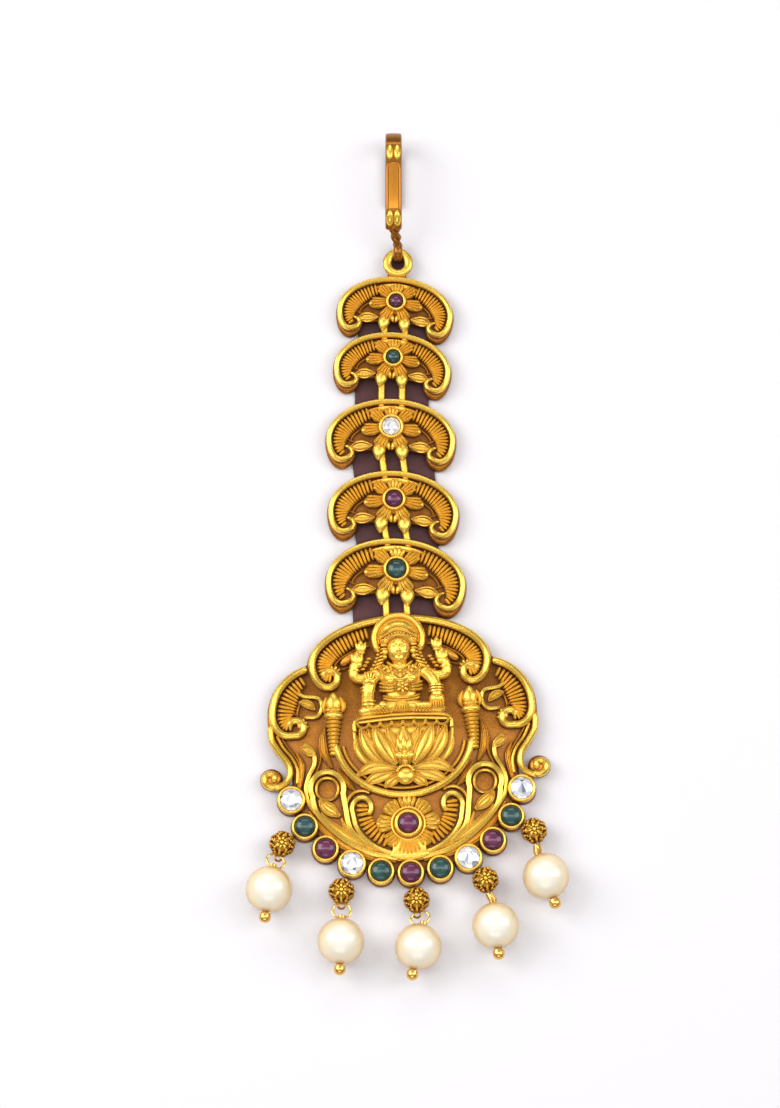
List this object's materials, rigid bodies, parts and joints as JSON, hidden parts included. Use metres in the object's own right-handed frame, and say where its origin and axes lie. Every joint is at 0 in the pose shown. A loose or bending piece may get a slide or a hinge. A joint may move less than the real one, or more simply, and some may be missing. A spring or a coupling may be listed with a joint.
{
  "type": "maang tikka",
  "caption": "Forehead ornament: a hair hook, a chain of crescent plates and a round pendant with a seated figure, edge stones and pearl drops.",
  "frame": {"origin": "centre of the pendant plate's flat back, which lies on the surface", "axes": "+Y along the chain from the pendant to the hook, +Z out of the decorated front, +X to the wearer's left when worn"},
  "size_m": [0.0396, 0.1079, 0.0067],
  "materials": {
    "gold": "antique satin gold plate, darker in the recesses",
    "wire": "bright gold plate",
    "ruby": "polished cabochon",
    "emerald": "polished cabochon",
    "crystal": "faceted, polished",
    "pearl": "cream pearl lustre"
  },
  "bodies": {
    "root": {"hook": "gold", "crescent_1": "gold", "crescent_stone_1": "ruby", "crescent_2": "gold", "crescent_stone_2": "emerald", "crescent_3": "gold", "crescent_stone_3": "crystal", "crescent_4": "gold", "crescent_stone_4": "ruby", "crescent_5": "gold", "crescent_stone_5": "emerald", "link_ring_1_left": "gold", "link_ring_1_right": "gold", "link_ring_2_left": "gold", "link_ring_2_right": "gold", "link_ring_3_left": "gold", "link_ring_3_right": "gold", "link_ring_4_left": "gold", "link_ring_4_right": "gold", "link_ring_5_left": "gold", "link_ring_5_right": "gold", "pendant": "gold", "heart_stone": "ruby", "edge_stone_1": "crystal", "edge_stone_2": "emerald", "edge_stone_3": "ruby", "edge_stone_4": "crystal", "edge_stone_5": "emerald", "edge_stone_6": "ruby", "edge_stone_7": "emerald", "edge_stone_8": "crystal", "edge_stone_9": "ruby", "edge_stone_10": "emerald", "edge_stone_11": "crystal", "rosette_bead_1": "gold", "head_pin_1": "wire", "pearl_1": "pearl", "rosette_bead_2": "gold", "head_pin_2": "wire", "pearl_2": "pearl", "rosette_bead_3": "gold", "head_pin_3": "wire", "pearl_3": "pearl", "rosette_bead_4": "gold", "head_pin_4": "wire", "pearl_4": "pearl", "rosette_bead_5": "gold", "head_pin_5": "wire", "pearl_5": "pearl"}
  },
  "joints": []
}
